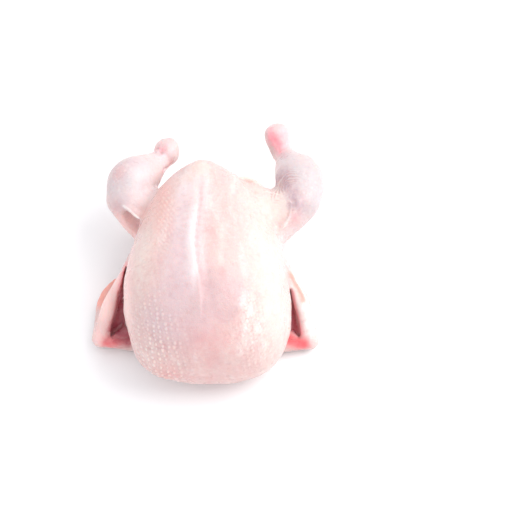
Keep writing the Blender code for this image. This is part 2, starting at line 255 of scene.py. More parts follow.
# ---- places on the bird -------------------------------------------------------------------
VENT = (0.014, 0.640, 0.392)  # the middle of the body cavity's mouth
VENT_HALF_WIDTH = 19.0 * MM
VENT_HALF_HEIGHT = 14.0 * MM
VENT_DEPTH = 36.0 * MM
FAT_LUMP_HEIGHT = 1.4 * MM
FAT_LUMP_SIZE = 9 * MM
MEMBRANE_FOLD_HEIGHT = 0.6 * MM
MEMBRANE_FOLD_SIZE = 6 * MM
HOCK_DISH_DEPTH = 0.5 * MM
HOCK_RIM_HEIGHT = 0.3 * MM
TENDON_HEIGHT = 0.45 * MM
TENDON_SIZE = 2.6 * MM
RIGHT_JOINT = (-0.390, 0.880, 0.530)  # the cut faces at the ends of the legs
LEFT_JOINT = (0.595, 0.990, 0.535)
JOINT_RADIUS = 6.5 * MM
JOINT_DISH_DEPTH = 0.7 * MM
JOINT_RIM_HEIGHT = 0.6 * MM
KNOB_OFFSET = 3.0 * MM  # of each of the joint's two knobs from its middle
KNOB_RADIUS = 2.4 * MM
KNOB_HEIGHT = 1.1 * MM
TAIL_TIP = (0.014, 0.795, 0.245)
TAIL_BOW = (0.17, 0.13, 0.03)  # half the width of the tail's bow, and how far its ends turn back
TAIL_QUILLS = 9
QUILL_RADIUS = 1.3 * MM
QUILL_DEPTH = 1.1 * MM
QUILL_RIM_HEIGHT = 0.5 * MM
BREAST_TURN = (-0.08, -0.37, 0.43)  # on the keel's plane, where the breast turns down
BREAST_TURN_RADIUS = 78 * MM

# ---- patches of relief --------------------------------------------------------------------
BREAST = [Patch(-0.03, -0.20, 0.55, 78, 110, 75), Patch(0.0, -0.10, 0.95, 60, 100, 45)]
FOLLICLE_TRACTS = [
    Patch(-0.40, -0.90, 0.58, 24, 24, 36),
    Patch(-0.36, -0.97, 0.36, 22, 16, 20, 0.8),
    Patch(-0.44, -0.72, 0.78, 18, 22, 24, 0.45),
    Patch(-0.42, -0.30, 0.92, 12, 40, 20, 0.2),
    Patch(0.36, -0.72, 0.76, 12, 22, 26, 0.55),
    Patch(0.42, -0.90, 0.50, 20, 18, 30, 0.5),
]
STROKED = [
    Patch(-0.354, 0.106, 0.874, 9, 20, 12),
    Patch(-0.333, -0.073, 0.926, 8, 20, 12, 0.9),
    Patch(-0.338, -0.252, 0.958, 8, 18, 12, 0.7),
    Patch(0.330, -0.803, 0.729, 14, 14, 20, 0.6),
]
PEBBLED = [
    Patch(-0.76, 0.44, 0.72, 14, 20, 18),
    Patch(-0.78, 0.25, 0.55, 14, 24, 24, 0.6),
    Patch(0.84, 0.35, 0.62, 20, 34, 34, 0.7),
    Patch(-0.60, 0.05, 0.50, 16, 50, 30, 0.4),
    Patch(0.60, 0.05, 0.50, 16, 50, 30, 0.3),
    Patch(0.0, 0.70, 0.25, 60, 30, 40, 0.8),
]
CALF_WRINKLES = Patch(0.712, 0.314, 0.718, 17, 17, 17)
WRINKLES_FACE = (-0.75, 0.62, 0.20)  # the side of that patch on which they show
RIGHT_HOCK_END = Patch(-0.455, 0.738, 0.612, 8.5, 8.5, 8.5)
FULLNESSES = [
    Fullness(-2.6, Patch(0.68, -0.32, 0.60, 9, 42, 24)),  # the left flank
    Fullness(2.4, Patch(0.97, 0.42, 0.64, 12, 24, 18)),  # the left calf
    Fullness(4.5, Patch(-0.38, -0.96, 0.36, 15, 13, 16)),  # the front at its right corner
    Fullness(4.5, Patch(-0.52, -0.87, 0.40, 15, 17, 19)),  # the front's side behind it
    Fullness(2.5, Patch(-0.345, 0.720, 0.56, 6, 6, 8)),  # the right hock's knuckle
]

# ---- patches of tone ----------------------------------------------------------------------
SKIN_COLOUR = (0.70, 0.505, 0.48)
SKIN_DEEP = (0.68, 0.42, 0.41)  # where blood shows through
SKIN_PALE = (0.77, 0.62, 0.59)  # where fat does
BUMP_PALE_AND_GLINT_COLOUR = (0.84, 0.745, 0.69)  # paler skin and a painted highlight on the tops of the follicles and other bumps
BUMP_PALE_AND_GLINT_STRENGTH = 0.62
CREASE_SHADE_COLOUR = (0.50, 0.25, 0.25)  # painted shade in the folds and hollows
CREASE_SHADE_STRENGTH = 0.5
LINING_STRENGTH = 0.8  # of open flesh on the body cavity's wall

# Each tone: its colour, the raggedness of its edge, and the marks where it shows.
Tone = namedtuple("Tone", "colour ragged marks")

TONES = {
    "pearl and keel sheen": Tone((0.79, 0.70, 0.715), 0.4, [
        # painted highlight: a soft pale band beside the keel; the other marks are the skin's own
        # pearly tone
        Streak(KEEL_HIGHLIGHT_BAND, 9.0, 0.60),
        Streak(KEEL_SHADE, 9.0, 0.45),
        Patch(-0.62, 0.40, 0.72, 28, 32, 28, 0.90),
        Patch(-0.40, 0.70, 0.58, 15, 15, 16, 0.90),
        Patch(0.64, 0.84, 0.60, 16, 16, 18, 0.75),
        Patch(0.66, 0.56, 0.66, 14, 14, 16, 0.75),
        Patch(0.74, 0.02, 0.50, 16, 18, 20, 0.80),
    ]),
    "salmon and valley shade": Tone((0.76, 0.445, 0.405), 0.45, [
        Patch(-0.395, 0.250, 0.79, 9, 26, 14, 0.80),
        Patch(-0.400, 0.035, 0.88, 11, 34, 18, 0.75),
        Patch(-0.43, -0.30, 0.89, 9, 34, 16, 0.30),
        # painted shade in the valley between the right thigh and the breast
        Patch(-0.53, 0.08, 0.70, 8, 20, 14, 0.8),
        Patch(-0.335, -0.955, 0.36, 13, 10, 13, 0.60),
    ]),
    "lilac": Tone((0.63, 0.465, 0.485), 0.5, [
        Streak(HOLLOW_RIM, 7.0, 0.55),
        Patch(-0.200, 0.00, 0.95, 8, 40, 9, 0.45),
        Patch(-0.215, -0.35, 0.98, 14, 34, 14, 0.65),
        Patch(-0.215, -0.64, 0.92, 20, 28, 22, 0.95),
        Patch(-0.365, -0.76, 0.78, 17, 22, 20, 0.75),
        Patch(-0.193, -0.84, 0.78, 18, 18, 20, 0.70),
        Patch(-0.86, 0.32, 0.66, 10, 26, 20, 0.25),
        Patch(-0.72, 0.23, 0.70, 12, 12, 12, 0.70),
        Patch(-0.68, 0.54, 0.77, 13, 9, 9, 0.85),
        Patch(-0.84, 0.46, 0.72, 6, 10, 9, 0.50),
        Patch(-0.59, 0.36, 0.71, 5, 6, 6, 0.35),
        Patch(0.84, 0.24, 0.66, 20, 26, 24, 0.55),
        Patch(0.70, 0.48, 0.70, 13, 14, 14, 0.65),
    ]),
    "dove and calf edge shade": Tone((0.585, 0.525, 0.54), 0.3, [
        # painted shade along the left calf's outer edge; the other patches are the legs' own
        # grey-lilac
        Patch(0.92, 0.35, 0.66, 20, 40, 28, 0.98),
        Patch(-0.80, 0.42, 0.70, 16, 22, 16, 0.55),
        Patch(0.78, 0.45, 0.74, 16, 18, 14, 0.85),
        Patch(0.67, 0.66, 0.66, 10, 12, 14, 0.60),
        Patch(0.66, 0.88, 0.62, 10, 12, 12, 0.80),
        Patch(-0.72, 0.36, 0.76, 16, 18, 14, 0.65),
    ]),
    "thin skin": Tone((0.60, 0.41, 0.42), 0.35, [
        Streak(THIN_MUSCLE, 5.0, 0.70),
        Patch(0.140, -0.656, 0.895, 14, 20, 16, 0.60),
        Patch(0.010, -0.630, 0.920, 9, 20, 12, 0.85),
        Patch(0.032, -0.760, 0.850, 10, 14, 12, 0.60),
        Patch(0.260, -0.620, 0.880, 12, 22, 14, 0.50),
        Patch(0.120, -0.600, 0.920, 16, 14, 14, 0.40),
        # painted shade along the keel's ridge, on its left-wing side
        Streak(KEEL_SHADE, 3.0, 0.45),
    ]),
    "rosy": Tone((0.70, 0.36, 0.365), 0.35, [
        Patch(*RIGHT_JOINT, 10, 6, 10, 0.60),
        Patch(*LEFT_JOINT, 10, 6, 10, 0.60),
        Patch(0.02, -0.90, 0.68, 27, 18, 26, 0.42),
        Patch(-0.04, -0.98, 0.36, 55, 14, 16, 0.22),
        Patch(-0.292, -0.967, 0.386, 7, 7, 6, 0.6),
        Patch(-0.77, 0.44, 0.73, 8, 10, 9, 0.55),
        Patch(-0.80, 0.18, 0.56, 8, 14, 12, 0.35),
        Patch(-0.45, 0.745, 0.61, 9, 9, 9, 0.45),
        Patch(-0.350, 0.675, 0.53, 4, 8, 5, 0.45),
        Patch(0.745, 0.115, 0.62, 6, 7, 8, 0.45),
    ]),
    "cream and lobe highlight": Tone((0.78, 0.655, 0.60), 0.5, [
        Patch(*VENT, 30, 12, 24, 0.8),
        Patch(0.46, 0.24, 0.69, 24, 30, 28, 0.8),
        Patch(0.50, -0.13, 0.78, 22, 44, 30, 0.8),
        Patch(0.54, -0.52, 0.70, 20, 40, 34, 0.75),
        Patch(0.50, -0.80, 0.55, 20, 26, 34, 0.45),
        Patch(-0.06, 0.40, 0.89, 16, 16, 12, 0.6),
        Patch(-0.51, -0.30, 0.85, 11, 36, 16, 0.70),
        Patch(0.60, 0.20, 0.64, 10, 14, 14, 0.6),
        # painted highlight down the left lobe; the patches above are the skin's own cream tone
        Streak(LEFT_LOBE_HIGHLIGHT, 3.5, 0.4),
    ]),
    "pale flank": Tone((0.96, 0.66, 0.63), 0.4, [
        Patch(-0.64, -0.46, 0.64, 6, 60, 26, 0.75),
        Patch(-0.87, -0.42, 0.27, 10, 36, 14, 1.0),
        Patch(-0.78, -0.22, 0.36, 8, 24, 10, 0.9),
        Patch(-0.92, -0.60, 0.16, 8, 12, 10, 0.8),
        Streak(HOLLOW_LINING, 11.0, 0.85),
    ]),
    "peach": Tone((0.80, 0.66, 0.60), 0.4, [
        Streak(TAIL_SIDE_FLAP, 3.2, 0.8),
    ]),
    # painted highlight: the glint along the keel's ridge
    "keel glint": Tone((0.85, 0.81, 0.81), 0.2, [
        Patch(-0.114, -0.24, 0.985, 4.0, 30, 7, 0.60),
        Patch(-0.086, -0.48, 0.985, 2.6, 22, 7, 0.55),
        Patch(-0.098, -0.02, 0.955, 3.4, 26, 7, 0.35),
    ]),
    "fat": Tone((0.86, 0.81, 0.785), 0.8, [
        Patch(0.80, -0.34, 0.34, 6, 24, 9, 0.8),
        Patch(0.306, -0.653, 0.845, 4, 7, 5, 0.45),
        Patch(0.362, -0.712, 0.786, 3, 6, 5, 0.45),
        Patch(0.426, -0.774, 0.700, 4, 6, 6, 0.45),
        Patch(0.330, -0.803, 0.729, 3, 5, 5, 0.45),
        Patch(0.378, -0.860, 0.632, 3, 5, 5, 0.45),
        Patch(0.281, -0.907, 0.606, 3, 4, 5, 0.4),
        Patch(0.475, -0.851, 0.566, 4, 5, 5, 0.4),
        Streak(RIGHT_FLAP, 1.5, 0.9),
        Streak(LEFT_COVER, 1.6, 0.3),
        Patch(0.88, -0.46, 0.25, 8, 42, 16, 0.95),
        Patch(0.77, -0.28, 0.37, 7, 22, 10, 0.9),
    ]),
    # a purple tint, and painted shade on the left leg's inner side
    "plum and inner leg shade": Tone((0.48, 0.34, 0.385), 0.9, [
        Streak(LEFT_LEG_INSIDE, 9.0, 0.62),
        Patch(0.775, 0.19, 0.66, 8, 9, 9, 0.45),
    ]),
    "coral": Tone((0.85, 0.37, 0.31), 0.9, [
        Streak(RIGHT_WING_TIP, 8.0, 0.95),
        Streak(LEFT_WING_TIP, 4.0, 1.0),
    ]),
    "pink flank": Tone((0.86, 0.36, 0.38), 0.5, [
        Streak(RIGHT_STRIP_INSIDE, 4.2, 0.9),
        Streak(LEFT_STRIP_INSIDE[:3], 3.0, 0.35),
        Streak(LEFT_STRIP_INSIDE[2:], 3.6, 0.9),
    ]),
    "raw": Tone((0.84, 0.135, 0.155), 0.4, [
        Streak(RIGHT_ROLL_FACE, 8.0, 0.78),
        Streak(LEFT_ROLL_FACE, 7.5, 0.95),
        Streak(RIGHT_WING_SLOT[1:], 4.6, 0.85),
        Streak(RIGHT_SLOT_RIM[1:], 2.6, 0.5),
        Streak(RIGHT_HOCK_CREASE, 1.6, 0.35),
    ]),
    "gristle": Tone((0.80, 0.775, 0.785), 0.5, [
        Patch(*RIGHT_JOINT, 6, 6, 6, 0.85),
        Patch(*LEFT_JOINT, 6, 6, 6, 0.85),
    ]),
    "open flesh": Tone((0.66, 0.135, 0.18), 0.5, [
        Streak(LEFT_WING_POCKET, 7.0, 0.95),
        Streak(LEFT_WING_SLOT[1:], 3.2, 0.85),
        Streak(RIGHT_WING_POCKET, 7.5, 0.95),
        Patch(-0.735, -0.330, 0.24, 6, 16, 9, 0.9),
    ]),
    "blood": Tone((1.0, 0.36, 0.42), 0.9, [
        Patch(0.560, 0.850, 0.608, 5.0, 9.5, 6.5, 0.95),
        Patch(0.605, 0.800, 0.590, 8, 11, 8, 0.55),
        Streak(LEFT_HOCK_CUT, 3.0, 0.45),
        Patch(-0.455, 0.745, 0.61, 7, 7, 7, 0.30),
        Patch(-0.615, 0.150, 0.57, 3, 5, 7, 0.5),
        Patch(0.745, 0.115, 0.62, 5, 6, 7, 0.25),
    ]),
    # dark red flesh, and painted shade in the wing creases, the pockets and the slot beside the
    # right wing
    "maroon and crease shade": Tone((0.30, 0.05, 0.075), 0.4, [
        Streak(RIGHT_WING_SLOT, 1.8, 0.5),
        Patch(-0.785, -0.520, 0.140, 10, 10, 8, 0.92),
        Patch(-0.695, -0.590, 0.165, 10, 12, 9, 0.92),
        Patch(-0.745, -0.420, 0.150, 6, 14, 9, 0.75),
        Streak(RIGHT_WING_CREASE, 2.4, 0.9),
        Streak(LEFT_WING_CREASE, 2.0, 0.85),
        Patch(0.725, -0.500, 0.11, 6, 7, 6, 0.25),
    ]),
}


# ---- places and fields --------------------------------------------------------------------
def at(shares):
    """Points in metres from shares of the bird's box."""
    return MIDDLE + np.array(shares, float) * SPAN


def smooth_line(places, steps=8):
    """Points along a Catmull-Rom curve through the places."""
    points = at(places)
    padded = np.vstack([2 * points[0] - points[1], points, 2 * points[-1] - points[-2]])
    curve = []
    for i in range(1, len(padded) - 2):
        before, start, end, after = padded[i - 1 : i + 3]
        for t in np.arange(steps) / steps:
            linear = (end - before) * t
            square = (2 * before - 5 * start + 4 * end - after) * t**2
            cubic = (3 * start - before - 3 * end + after) * t**3
            curve.append(0.5 * (2 * start + linear + square + cubic))
    curve.append(points[-1])
    return np.array(curve)


def line_distance(points, line, reach):
    """Distance of each point from the line, and the share of the line's length beside it.
    Points further away than the reach get the reach."""
    distance = np.full(len(points), float(reach))
    share = np.zeros(len(points))
    low, high = line.min(axis=0) - reach, line.max(axis=0) + reach
    near = np.flatnonzero(np.all((points > low) & (points < high), axis=1))
    close = points[near]
    best = np.full(len(close), float(reach))
    best_share = np.zeros(len(close))
    lengths = np.linalg.norm(np.diff(line, axis=0), axis=1)
    passed = np.concatenate([[0.0], np.cumsum(lengths)])
    for i, length in enumerate(lengths):
        step = (line[i + 1] - line[i]) / length
        along = np.clip((close - line[i]) @ step, 0, length)
        gap = np.linalg.norm(close - line[i] - along[:, None] * step, axis=1)
        closer = gap < best
        best[closer] = gap[closer]
        best_share[closer] = (passed[i] + along[closer]) / passed[-1]
    distance[near] = best
    share[near] = best_share
    return distance, share


def bell(distance, width):
    return np.exp(-((distance / width) ** 2))


def fading(share, start, end):
    """1 along a line, falling to 0 over these shares of its length at its ends."""
    rise = np.clip(share / start, 0, 1)
    fall = np.clip((1 - share) / end, 0, 1)
    return np.sin(0.5 * math.pi * rise) * np.sin(0.5 * math.pi * fall)


def covered(points, mark):
    """How much of the mark, a patch or a streak, lies on each point, between 0 and 1."""
    if isinstance(mark, Streak):
        width = mark.wide * MM
        away, _ = line_distance(points, smooth_line(mark.places), 2 * width)
        return np.clip(1 - (away / (2 * width)) ** 2, 0, 1) * np.exp(-((away / width) ** 3))
    middle = at((mark.across, mark.along, mark.up))
    size = np.array((mark.wide, mark.long, mark.high)) * MM
    return np.exp(-(((points - middle) / size) ** 2).sum(axis=1))


def spots(points, marks):
    """The marks' strengths, joined softly, between 0 and 1."""
    left = np.ones(len(points))
    for mark in marks:
        left *= 1 - mark.strength * covered(points, mark)
    return 1 - left


def hashed(a, b, salt):
    """A repeatable number between 0 and 1 for each pair of whole numbers."""
    mixed = np.sin(a * 127.1 + b * 311.7 + salt * 74.7) * 43758.5453
    return mixed - np.floor(mixed)


def rolling(points, size, salt):
    """Smooth, repeatable unevenness between -1 and 1, with swells of about the given size."""
    total = np.zeros(len(points))
    turn = np.random.default_rng(salt)
    waves = 14
    for _ in range(waves):
        way = turn.normal(size=3)
        way *= 2 * math.pi / (size * 2 * np.linalg.norm(way)) * turn.uniform(0.6, 1.4)
        total += np.sin(points @ way + turn.uniform(0, 2 * math.pi))
    return total / math.sqrt(waves)


# ---- the skin while it is worked ----------------------------------------------------------
def neighbours_mean(values, edges, links):
    """For each vertex, the mean of the values at the other ends of its edges."""
    start, end = edges.T
    many = len(values)
    columns = []
    for column in values.T:
        total = np.bincount(start, column[end], many) + np.bincount(end, column[start], many)
        columns.append(total / links)
    return np.stack(columns, axis=1)


class Hide:
    """A mesh as arrays: its points, the normals there and its edges."""

    def __init__(self, mesh):
        self.mesh = mesh
        self.points = np.zeros(len(mesh.vertices) * 3)
        mesh.vertices.foreach_get("co", self.points)
        self.points = self.points.reshape(-1, 3)
        edges = np.zeros(len(mesh.edges) * 2, int)
        mesh.edges.foreach_get("vertices", edges)
        self.edges = edges.reshape(-1, 2)
        self.links = np.bincount(self.edges.ravel(), minlength=len(self.points))
        self.read_normals()

    def store(self):
        self.mesh.vertices.foreach_set("co", self.points.ravel())
        self.mesh.update()

    def read_normals(self):
        self.store()
        normals = np.zeros(len(self.points) * 3)
        self.mesh.vertices.foreach_get("normal", normals)
        self.normals = normals.reshape(-1, 3)

    def averaged(self, values):
        """Each vertex's mean over its neighbours."""
        return neighbours_mean(values, self.edges, self.links)

    def melt(self, where, rounds):
        """Draws the chosen skin together, so that edges on it sink into soft slopes."""
        near = self.edges[(where > FAINT)[self.edges].any(axis=1)]
        chosen, edges = np.unique(near, return_inverse=True)
        edges = edges.reshape(-1, 2)
        links = np.bincount(edges.ravel(), minlength=len(chosen))
        share = np.where(where > FAINT, 0.5 * where, 0)[chosen, None]
        points = self.points[chosen]
        for _ in range(rounds):
            points += share * (neighbours_mean(points, edges, links) - points)
        self.points[chosen] = points
        self.read_normals()

    def relax(self, rounds, where=1.0, strength=0.55, restore=0.56):
        """Smooths without shrinking: each round draws points together and then apart."""
        for _ in range(rounds):
            for share in (strength, -restore):
                move = self.averaged(self.points) - self.points
                self.points += share * move * np.reshape(where, (-1, 1))
        self.read_normals()

    def lift(self, amount):
        self.points += self.normals * amount[:, None]
        self.read_normals()

    def hollowness(self):
        """How far each point lies below its neighbours' mean, in metres."""
        return ((self.averaged(self.points) - self.points) * self.normals).sum(axis=1)


def hide_chart(points):
    """Two lengths for each point, as on a flattened hide: forwards from the turn of the breast,
    and round the body from the keel."""
    across, along, up = points.T
    keel_x, turn_y, turn_z = at(BREAST_TURN)
    ahead = np.minimum(along - turn_y, 0)
    above = np.maximum(up - turn_z, 0)
    rise = np.hypot(ahead, above)
    slope = np.arctan2(-ahead, above + 1e-6)
    forwards = slope * BREAST_TURN_RADIUS + np.maximum(turn_z - up, 0) * (ahead < 0)
    forwards = np.where(along > turn_y, turn_y - along, forwards)
    girth = np.hypot(across - keel_x, rise)
    return forwards, np.arctan2(across - keel_x, rise) * girth


def follicle_field(points):
    """Height from 0 to 1 of the feather follicles, in columns that run forwards."""
    forwards, round_body = hide_chart(points)
    row = forwards / FOLLICLE_SPACING
    seat = round_body / (COLUMN_STEP * FOLLICLE_SPACING)
    lean = 0.12
    jitter = 0.30
    flatness = 0.82
    best = np.zeros(len(points))
    base_row = np.floor(row)
    for drow in (-1, 0, 1):
        this_row = base_row + drow
        shift = lean * this_row
        base_seat = np.floor(seat - shift)
        for dseat in (-1, 0, 1):
            this_seat = base_seat + dseat
            jitter_row = jitter * (hashed(this_row, this_seat, 1) - 0.5)
            jitter_seat = jitter * (hashed(this_row, this_seat, 2) - 0.5)
            size = 0.60 + 0.60 * hashed(this_row, this_seat, 3)
            away_row = flatness * (row - this_row - 0.5 - jitter_row)
            away_seat = (seat - shift - this_seat - 0.5 - jitter_seat) * COLUMN_STEP
            away = np.hypot(away_row, away_seat) * FOLLICLE_SPACING / (FOLLICLE_RADIUS * size)
            best = np.maximum(best, size * np.clip(1 - away**2, 0, 1) ** 2)
    return np.clip(best, 0, 1)


def stroke_field(points):
    """Height from 0 to 1 of the short slanting strokes that stretched follicles leave."""
    forwards, round_body = hide_chart(points)
    cosine, sine = math.cos(STROKE_SLANT), math.sin(STROKE_SLANT)
    lengthwise = (forwards * cosine + round_body * sine) / STROKE_STEP
    sideways = (round_body * cosine - forwards * sine) / STROKE_SPACING
    sideways += 0.12 * rolling(points, 7 * MM, 41)
    column = np.floor(sideways)
    shift = hashed(column, 3.0, 7)
    seat = np.floor(lengthwise + shift)
    size = 0.5 + 0.5 * hashed(column, seat, 8)
    half_width, half_length = 0.42, 0.46
    beside = (sideways - column - 0.5) / half_width
    beyond = (lengthwise + shift - seat - 0.5) / half_length
    away = np.hypot(beside, beyond)
    return size * np.clip(1 - away**2, 0, 1) ** 1.2


def pebble_field(points, where):
    """Height from 0 to 1 of fine, uneven pebbling on the points where it is wanted."""
    height = np.zeros(len(points))
    wanted = np.flatnonzero(where > FAINT)
    close = points[wanted] / PEBBLE_SPACING
    cell = np.floor(close)
    best = np.zeros(len(close))
    for dx in (-1, 0, 1):
        for dy in (-1, 0, 1):
            for dz in (-1, 0, 1):
                here = cell + (dx, dy, dz)
                key = here[:, 0] + 57 * here[:, 1]
                seed = [hashed(key, here[:, 2], salt) for salt in range(11, 15)]
                middle = here + np.stack(seed[:3], axis=1)
                away = np.linalg.norm(close - middle, axis=1) / (0.40 + 0.25 * seed[3])
                best = np.maximum(best, np.clip(1 - away**2, 0, 1) ** 1.5)
    height[wanted] = best * where[wanted]
    return height


# ---- making the skin ----------------------------------------------------------------------
def linked(name, data):
    """A new object in the scene with this mesh, light or camera."""
    piece = bpy.data.objects.new(name, data)
    bpy.context.scene.collection.objects.link(piece)
    return piece


def shape_of(mesh):
    shape = bmesh.new()
    shape.from_mesh(mesh)
    return shape


def mesh_of(shape, name):
    """A new mesh from the bmesh, which is freed."""
    mesh = bpy.data.meshes.new(name)
    shape.to_mesh(mesh)
    shape.free()
    return mesh


def baked(piece, name):
    """The object's mesh with its modifiers applied. The object itself is removed."""
    graph = bpy.context.evaluated_depsgraph_get()
    mesh = bpy.data.meshes.new_from_object(piece.evaluated_get(graph))
    mesh.name = name
    bpy.data.objects.remove(piece)
    return mesh


def strand(shape, line, radii, tall=1.0, sides=10):
    """Adds a closed strand along the line to the bmesh, its sections this much taller than
    they are wide."""
    rings = []
    for i, middle in enumerate(line):
        ahead = Vector(line[min(i + 1, len(line) - 1)] - line[max(i - 1, 0)]).normalized()
        side = ahead.cross(Vector((0, 0, 1))).normalized()
        up = side.cross(ahead) * tall
        ring = []
        for k in range(sides):
            angle = 2 * math.pi * k / sides
            offset = (math.cos(angle) * side + math.sin(angle) * up) * float(radii[i])
            ring.append(shape.verts.new(Vector(middle) + offset))
        rings.append(ring)
    for near, far in zip(rings, rings[1:]):
        for k in range(sides):
            n = (k + 1) % sides
            shape.faces.new((near[k], near[n], far[n], far[k]))
    shape.faces.new(rings[0][::-1])
    shape.faces.new(rings[-1])


def skin_edge(shape, places, radius=EDGE_RADIUS, ends=0.35):
    """A free edge of skin: a thin strand that tapers at both ends."""
    line = smooth_line(places)
    share = np.linspace(0, 1, len(line))
    strand(shape, line, radius * (ends + (1 - ends) * np.sin(math.pi * share) ** 0.5))


def swelling(shape, fold, tall=1.0, sides=16):
    """Adds a strand whose radius changes steadily along its line."""
    line = smooth_line(fold.places)
    share = np.linspace(0, 1, len(line))
    radii = np.interp(share, np.linspace(0, 1, len(fold.radii)), fold.radii) * MM
    strand(shape, line, radii, tall, sides)


def slot_cutter(slot):
    shape = bmesh.new()
    swelling(shape, slot, SLOT_TALLNESS, sides=10)
    bmesh.ops.recalc_face_normals(shape, faces=shape.faces)
    return linked("slot", mesh_of(shape, "slot"))


def cut_away(body, cutter):
    cut = body.modifiers.new("cut", "BOOLEAN")
    cut.operation = "DIFFERENCE"
    cut.solver = "EXACT"
    cut.object = cutter
    left = linked(body.name, baked(body, "cut"))
    bpy.data.objects.remove(cutter)
    return left


def without_bubbles(mesh):
    """The mesh with its largest connected surface only. Sealed bubbles in the flesh are dropped."""
    edges = np.zeros(len(mesh.edges) * 2, int)
    mesh.edges.foreach_get("vertices", edges)
    start, end = edges.reshape(-1, 2).T
    owner = np.arange(len(mesh.vertices))
    while (owner[start] != owner[end]).any():
        lower = np.minimum(owner[start], owner[end])
        np.minimum.at(owner, owner[start], lower)
        np.minimum.at(owner, owner[end], lower)
        owner = owner[owner]
    largest = np.bincount(owner).argmax()
    shape = shape_of(mesh)
    bubbles = [vertex for vertex in shape.verts if owner[vertex.index] != largest]
    bmesh.ops.delete(shape, geom=bubbles, context="VERTS")
    return mesh_of(shape, mesh.name)


def rough_form(grid):
    """The CAD bird with rounded facets, deep slots beside its wings, their rolls of flesh and
    its thin skin edges, as one even mesh."""
    shape = shape_of(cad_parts[BIRD].data)
    bmesh.ops.remove_doubles(shape, verts=shape.verts, dist=0.02 * MM)
    body = linked("rough", mesh_of(shape, "rough"))
    rounder = body.modifiers.new("round", "SUBSURF")
    rounder.levels = rounder.render_levels = 2
    body = linked("rounded", baked(body, "rounded"))
    for slot in SLOTS:
        body = cut_away(body, slot_cutter(slot))

    shape = shape_of(body.data)
    bpy.data.objects.remove(body)
    skin_edge(shape, RIGHT_FLAP)
    skin_edge(shape, LEFT_COVER, 0.5 * EDGE_RADIUS)
    for fold in SWELLINGS:
        swelling(shape, fold)
    bmesh.ops.recalc_face_normals(shape, faces=shape.faces)
    body = linked("whole", mesh_of(shape, "whole"))
    even = body.modifiers.new("even", "REMESH")
    even.mode = "VOXEL"
    even.voxel_size = grid
    return without_bubbles(baked(body, SKIN))


def ridge(points, places, width, ends=0.2, reach=5.0):
    """1 on a soft line through the places, falling to 0 beside it and at its ends."""
    away, share = line_distance(points, smooth_line(places), reach * width)
    return bell(away, width) * fading(share, ends, ends)


def keel_ridge(points):
    """1 on the keel's line, falling softly towards the right wing and sharply to the left."""
    line = smooth_line(KEEL)
    away, share = line_distance(points, line, 4 * KEEL_SOFT_SIDE)
    beside = points[:, 0] - np.interp(-points[:, 1], -line[:, 1], line[:, 0])
    width = np.where(beside > 0, KEEL_SHARP_SIDE, KEEL_SOFT_SIDE)
    return bell(away, width) * fading(share, 0.42, 0.15)


def arc_wrinkles(points, patch):
    """Parts of rings round the middle of the patch, on its wrinkled side only."""
    offset = points - at((patch.across, patch.along, patch.up))
    away = np.linalg.norm(offset, axis=1)
    side = np.clip(offset @ np.array(WRINKLES_FACE) / np.maximum(away, MM), 0, 1) ** 0.7
    wobble = 0.5 * WRINKLE_SPACING * rolling(points, 7 * MM, 23)
    rings = np.sin(2 * math.pi * (away + wobble) / WRINKLE_SPACING)
    size = patch.wide * MM
    return rings * bell(away - 0.75 * size, 0.42 * size) * side


def round_off(hide):
    """Smooths the skin: all of it a little, the breast and the molten places more."""
    hide.relax(SKIN_ROUNDS)
    hide.relax(BREAST_ROUNDS, where=np.clip(2.2 * spots(hide.points, BREAST) - 0.6, 0, 1))
    for marks, rounds in MOLTEN:
        hide.melt(spots(hide.points, marks), rounds)


def large_relief(points):
    """How far the skin is raised by all that is larger than a follicle."""
    raised = SWELL_HEIGHT * rolling(points, SWELL_SIZE, 5)
    raised += RIPPLE_HEIGHT * rolling(points, RIPPLE_SIZE, 6)
    raised += KEEL_HEIGHT * keel_ridge(points)
    raised -= KEEL_GROOVE_DEPTH * ridge(points, KEEL_GROOVE, KEEL_GROOVE_WIDTH, 0.3, 3)
    for crease in CREASES:
        raised -= crease.deep * MM * ridge(points, crease.places, crease.wide * MM)
    raised += WRINKLE_HEIGHT * arc_wrinkles(points, CALF_WRINKLES)
    raised += hock_end(points, RIGHT_HOCK_END)
    raised += joint_face(points, RIGHT_JOINT) + joint_face(points, LEFT_JOINT)
    raised += vent_relief(points) + quill_holes(points)
    for fullness in FULLNESSES:
        raised += fullness.high * MM * spots(points, [fullness.patch])
    return raised


def fine_relief(points, follicle, stroke, pebble):
    """The follicles, strokes and pebbles where each shows, at these heights."""
    bumps = follicle * follicle_field(points) * spots(points, FOLLICLE_TRACTS)
    bumps += stroke * stroke_field(points) * spots(points, STROKED)
    bumps += pebble * pebble_field(points, spots(points, PEBBLED))
    return bumps


def work_skin(hide):
    round_off(hide)
    hide.lift(large_relief(hide.points))
    hide.lift(fine_relief(hide.points, FOLLICLE_HEIGHT, STROKE_HEIGHT, PEBBLE_HEIGHT))
    hide.points[:, 2] = np.maximum(hide.points[:, 2], 0)
    hide.read_normals()


def hock_end(points, patch):
    """The cut end of a leg: a shallow dish of torn tendons with a raised rim of skin."""
    middle = at((patch.across, patch.along, patch.up))
    away = np.linalg.norm(points - middle, axis=1) / (patch.wide * MM)
    inside = np.exp(-((away / 0.8) ** 4))
    rim = HOCK_RIM_HEIGHT * bell(away - 1.0, 0.25)
    torn = TENDON_HEIGHT * rolling(points, TENDON_SIZE, 31) * inside
    return -HOCK_DISH_DEPTH * inside + rim + torn


def from_vent(points):
    """Each point's distance from the body cavity's axis, 1 on the wall, and its place along Y
    from the mouth."""
    middle = at(VENT)
    across = (points[:, 0] - middle[0]) / VENT_HALF_WIDTH
    up = (points[:, 2] - middle[2]) / VENT_HALF_HEIGHT
    return np.hypot(across, up), points[:, 1] - middle[1]


